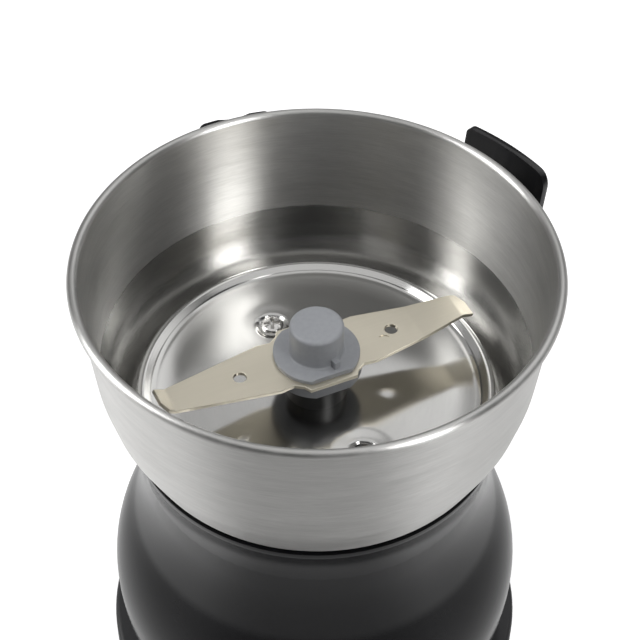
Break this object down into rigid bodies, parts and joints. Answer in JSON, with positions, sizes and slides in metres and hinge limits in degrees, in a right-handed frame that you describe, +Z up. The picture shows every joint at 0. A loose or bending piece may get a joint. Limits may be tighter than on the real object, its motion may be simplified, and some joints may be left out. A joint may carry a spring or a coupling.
{
  "type": "electric spice grinder",
  "caption": "Corded spice grinder base: steel bowl with a winged blade over a waisted black motor housing, with a lid safety-switch tower and a guide arm.",
  "frame": {"origin": "on the blade shaft's axis, in the plane of the rubber feet's undersides", "axes": "+Z up along the blade shaft; +X from the shaft towards the switch tower and the cord inlet; +Y completes a right-handed frame"},
  "size_m": [0.1077, 0.1053, 0.122],
  "materials": {
    "bowl_steel": "deep-drawn stainless sheet: brushed wall, polished floor",
    "blade_steel": "stamped stainless strip, ground edges",
    "plated_steel": "bright zinc-plated screws",
    "shaft_steel": "ground steel",
    "spring_steel": "bright spring wire",
    "lamination_steel": "stacked silicon-steel laminations",
    "housing_black": "glossy black moulding",
    "tower_black": "glossy black moulding, fine edges",
    "base_black": "satin black moulding",
    "hub_grey": "matte grey moulding",
    "carrier_grey": "matte dark grey moulding",
    "seal_black": "black nitrile rubber",
    "foot_rubber": "soft black rubber",
    "bracket_alloy": "die-cast, as cast",
    "bracket_resin": "glass-filled phenolic",
    "copper_wire": "enamelled copper wire",
    "copper_bars": "turned copper segments",
    "brass_stampings": "stamped brass",
    "bronze_bush": "oil-filled sintered bronze",
    "carbon": "pressed carbon",
    "clamp_fibre": "moulded nylon",
    "switch_resin": "black thermoset",
    "plunger_red": "moulded acetal",
    "pin_white": "natural acetal",
    "fan_white": "natural nylon"
  },
  "bodies": {
    "base": {"bowl": "bowl_steel", "bowl_screws": "plated_steel", "bowl_gasket": "seal_black", "shaft_seal": "seal_black", "housing": "housing_black", "switch_tower": "tower_black", "tower_screws": "plated_steel", "lid_guide_arm": "tower_black", "guide_arm_screw": "plated_steel", "bottom_cover": "base_black", "cover_screws": "plated_steel", "feet": "foot_rubber", "cord_gland": "base_black", "cord_clamp": "clamp_fibre", "clamp_screws": "plated_steel", "upper_bracket": "bracket_alloy", "motor_cushions": "foot_rubber", "upper_bush": "bronze_bush", "lower_bracket": "bracket_resin", "lower_bush": "bronze_bush", "motor_screws": "plated_steel", "stator_stack": "lamination_steel", "field_coils": "copper_wire", "brush_holders": "brass_stampings", "brush_left": "carbon", "brush_right": "carbon", "brush_spring_left": "spring_steel", "brush_spring_right": "spring_steel", "microswitch": "switch_resin", "switch_terminals": "brass_stampings", "pin_spring": "spring_steel"},
    "rotor": {"motor_shaft": "shaft_steel", "armature_core": "lamination_steel", "armature_winding": "copper_wire", "commutator": "copper_bars", "cooling_fan": "fan_white", "thrust_washers": "clamp_fibre", "fan_clip": "spring_steel", "blade_carrier": "carrier_grey", "blade": "blade_steel", "hub_cap": "hub_grey"},
    "pin": {"safety_pin": "pin_white"},
    "lever": {"switch_lever": "spring_steel"},
    "plunger": {"switch_plunger": "plunger_red"}
  },
  "joints": [
    {"name": "rotor_spin", "type": "hinge", "parent": "base", "child": "rotor", "pos_m": [0, 0, 0], "axis": [0, 0, 1], "continuous": true},
    {"name": "pin_slide", "type": "slide", "parent": "base", "child": "pin", "axis": [-0.1132, 0, -0.9936], "range_m": [0, 0.0019], "stiffness_N_per_m": 350, "springref_m": -0.0025, "deforming": ["pin_spring"]},
    {"name": "lever_hinge", "type": "hinge", "parent": "base", "child": "lever", "pos_m": [0.0445, -0.0089, 0.067], "axis": [-1, 0, 0], "range_deg": [0, 11.4]},
    {"name": "plunger_slide", "type": "slide", "parent": "base", "child": "plunger", "axis": [0, 0, -1], "range_m": [0, 0.00092]}
  ],
  "couplings": [
    {"joint": "lever_hinge", "follows": "pin_slide", "rad_per_m": 103.8},
    {"joint": "plunger_slide", "follows": "pin_slide", "ratio": 0.476}
  ]
}
